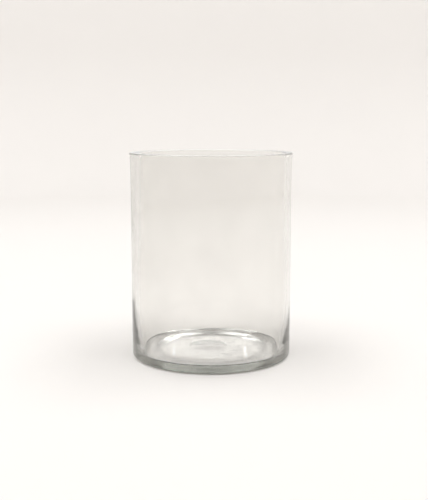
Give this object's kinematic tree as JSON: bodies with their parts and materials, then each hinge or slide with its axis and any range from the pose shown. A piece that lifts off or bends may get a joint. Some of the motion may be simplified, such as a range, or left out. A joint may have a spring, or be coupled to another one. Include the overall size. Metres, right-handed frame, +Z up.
{
  "type": "glass cylinder vase",
  "caption": "Clear straight-sided glass vase: one thick-walled blown cylinder closed by a flat base of the same glass, with a flat cut rim and a ground hollow under the base.",
  "frame": {"origin": "centre of the base, on the plane that the vase stands on", "axes": "+Z up along the outer cylinder's axis; X points to the side where the wall is thinner at the rim; Y completes the frame"},
  "size_m": [0.12, 0.12, 0.152],
  "materials": {
    "clear_glass": "clear soda-lime glass, polished, with a faint grey-green cast where it is thick and light wear on the base"
  },
  "bodies": {
    "root": {"vase_body": "clear_glass"}
  },
  "joints": []
}
